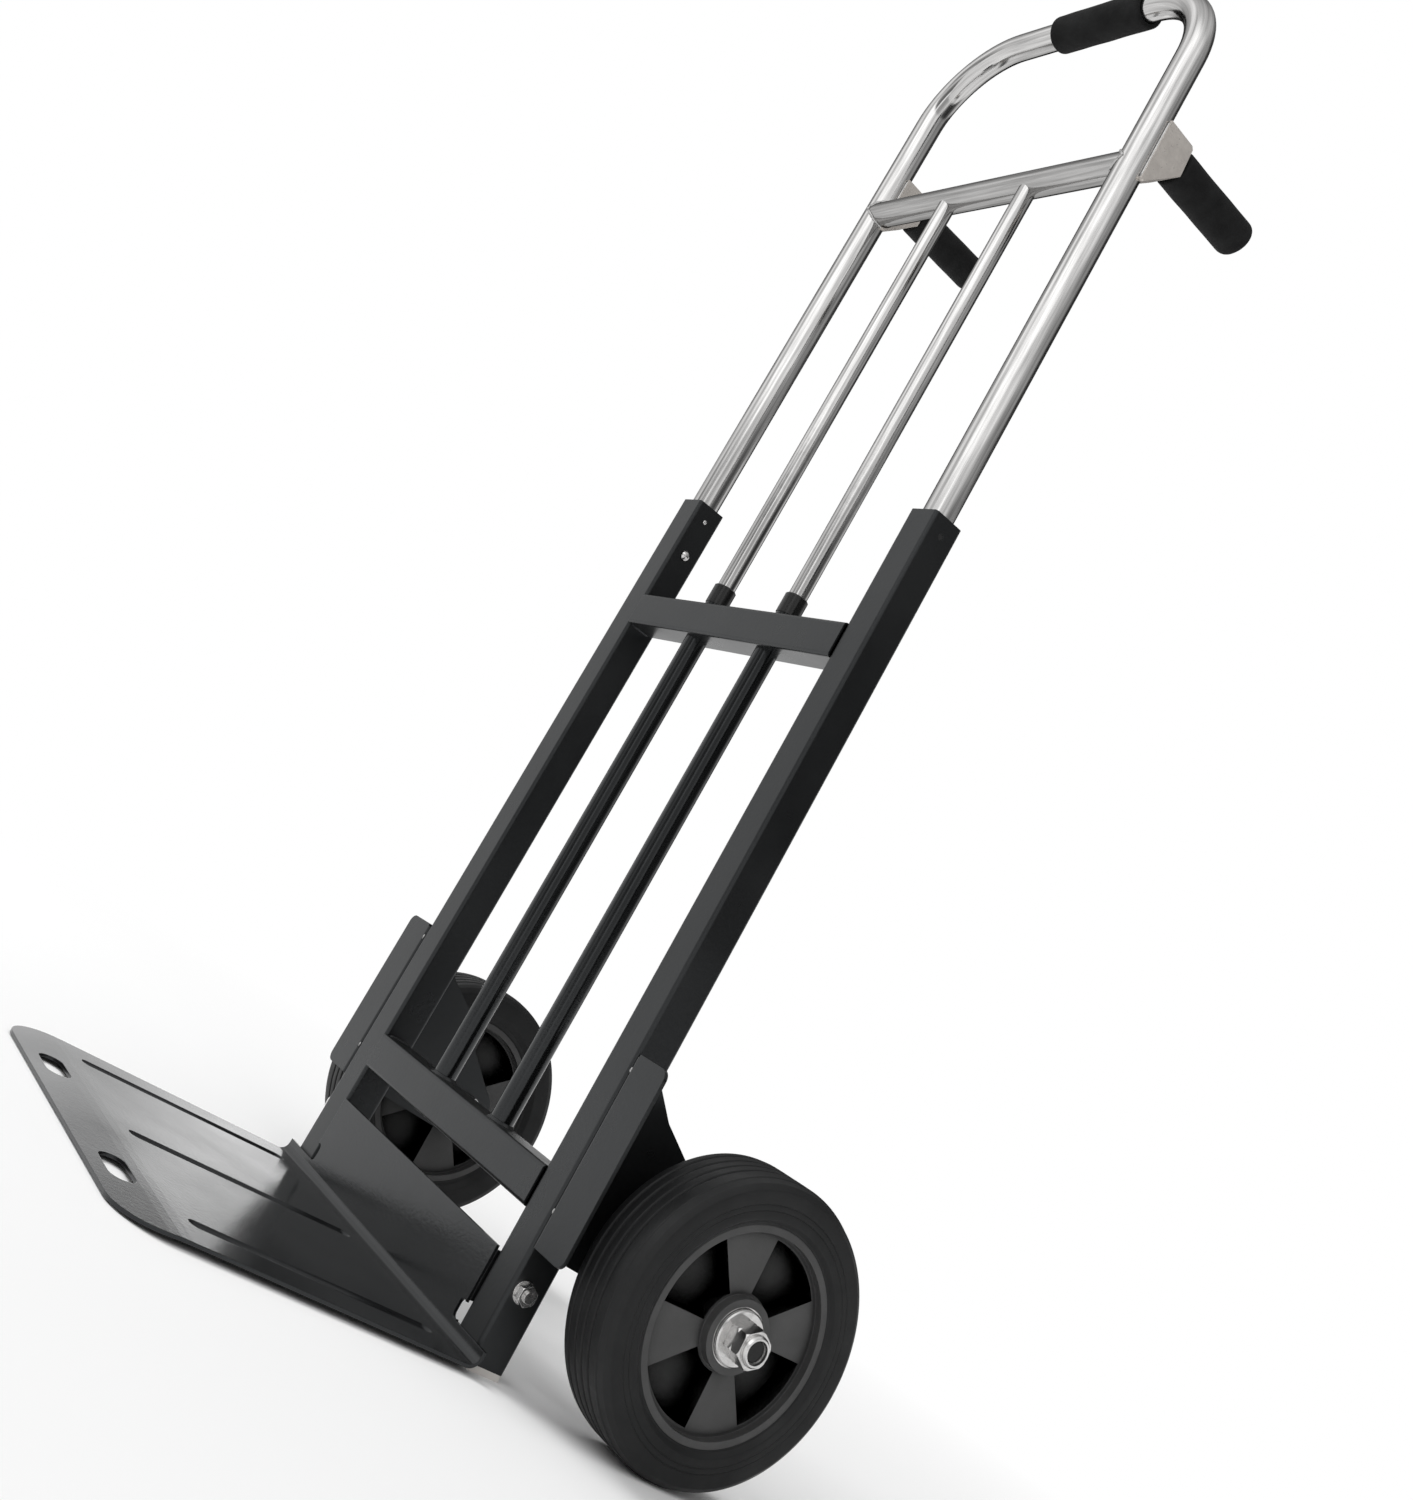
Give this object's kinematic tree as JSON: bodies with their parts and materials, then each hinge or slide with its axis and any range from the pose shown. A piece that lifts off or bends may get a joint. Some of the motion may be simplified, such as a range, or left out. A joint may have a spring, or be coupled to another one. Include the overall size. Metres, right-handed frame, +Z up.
{
  "type": "convertible hand truck",
  "caption": "Hand truck with a square-tube frame, pull-out loop handle, rear side handles, folding toe plate and solid tyres, for moving boxes upright or folded flat for storage.",
  "frame": {"origin": "centre of the footprint box on the floor, under the truck", "axes": "+Z up, +X toward the truck's left wheel as its user stands behind it, -Y toward the toe plate, wheels toward +Y"},
  "size_m": [0.548, 0.4984, 1.2285],
  "materials": {
    "black_powder_coat": "glossy black powder coat on steel",
    "bright_plated_tube": "bright polished tube with fine draw lines",
    "zinc_plated_hardware": "bright zinc plating",
    "bearing_steel": "ground steel",
    "seal_rubber": "thin rubber seal",
    "black_plastic": "moulded black plastic",
    "light_plastic": "cream moulded plastic",
    "foam_grip": "closed-cell foam sleeve",
    "tyre_rubber": "solid rubber, satin",
    "rim_plastic": "dark grey moulded plastic"
  },
  "bodies": {
    "frame": {"upright_left": "black_powder_coat", "upright_right": "black_powder_coat", "upper_crossbar": "black_powder_coat", "lower_crossbar": "black_powder_coat", "inner_tube_left": "black_powder_coat", "inner_tube_right": "black_powder_coat", "tube_collars": "black_plastic", "tube_welds": "black_powder_coat", "guide_bushes": "black_plastic", "foot_plugs": "light_plastic", "wheel_bracket_left": "black_powder_coat", "wheel_bracket_right": "black_powder_coat", "axle_bolt_left": "zinc_plated_hardware", "axle_bolt_right": "zinc_plated_hardware", "axle_lock_nuts": "zinc_plated_hardware", "axle_spacers": "zinc_plated_hardware", "axle_washers": "zinc_plated_hardware", "axle_nuts": "zinc_plated_hardware", "bearing_inner_races": "bearing_steel", "pivot_bolts": "zinc_plated_hardware", "pivot_nuts": "zinc_plated_hardware", "pivot_washers": "zinc_plated_hardware"},
    "handle": {"handle_loop": "bright_plated_tube", "handle_crossbar": "bright_plated_tube", "slide_rod_left": "bright_plated_tube", "slide_rod_right": "bright_plated_tube", "rod_end_guides": "black_plastic", "leg_end_guides": "black_plastic", "rear_handle_left": "bright_plated_tube", "rear_handle_right": "bright_plated_tube", "gusset_left": "bright_plated_tube", "gusset_right": "bright_plated_tube", "top_grip": "foam_grip", "rear_grip_left": "foam_grip", "rear_grip_right": "foam_grip", "snap_spring_left": "bearing_steel", "snap_spring_right": "bearing_steel"},
    "toe": {"toe_plate": "black_powder_coat", "hinge_ears": "black_powder_coat", "toe_pads": "black_powder_coat"},
    "wheel_left": {"tyre_left": "tyre_rubber", "rim_left": "rim_plastic", "bearing_outer_left": "bearing_steel", "bearing_balls_left": "bearing_steel", "bearing_seals_left": "seal_rubber"},
    "wheel_right": {"tyre_right": "tyre_rubber", "rim_right": "rim_plastic", "bearing_outer_right": "bearing_steel", "bearing_balls_right": "bearing_steel", "bearing_seals_right": "seal_rubber"},
    "button_left": {"snap_button_left": "bright_plated_tube"},
    "button_right": {"snap_button_right": "bright_plated_tube"}
  },
  "joints": [
    {"name": "handle_slide", "type": "slide", "parent": "frame", "child": "handle", "axis": [0, 0, -1], "range_m": [0, 0.32], "deforming": ["snap_button_left", "snap_button_right"]},
    {"name": "toe_fold", "type": "hinge", "parent": "frame", "child": "toe", "pos_m": [0, 0.03375, 0.057], "axis": [-1, 0, 0], "range_deg": [0, 96]},
    {"name": "wheel_left_spin", "type": "hinge", "parent": "frame", "child": "wheel_left", "pos_m": [-0.226, 0.14575, 0.104], "axis": [1, 0, 0], "continuous": true},
    {"name": "wheel_right_spin", "type": "hinge", "parent": "frame", "child": "wheel_right", "pos_m": [0.226, 0.14575, 0.104], "axis": [1, 0, 0], "continuous": true},
    {"name": "button_left_press", "type": "slide", "parent": "handle", "child": "button_left", "axis": [-1, 0, 0], "range_m": [0, 0.0055], "stiffness_N_per_m": 600, "springref_m": -0.002, "deforming": ["snap_spring_left"]},
    {"name": "button_right_press", "type": "slide", "parent": "handle", "child": "button_right", "axis": [1, 0, 0], "range_m": [0, 0.0055], "stiffness_N_per_m": 600, "springref_m": -0.002, "deforming": ["snap_spring_right"]}
  ]
}
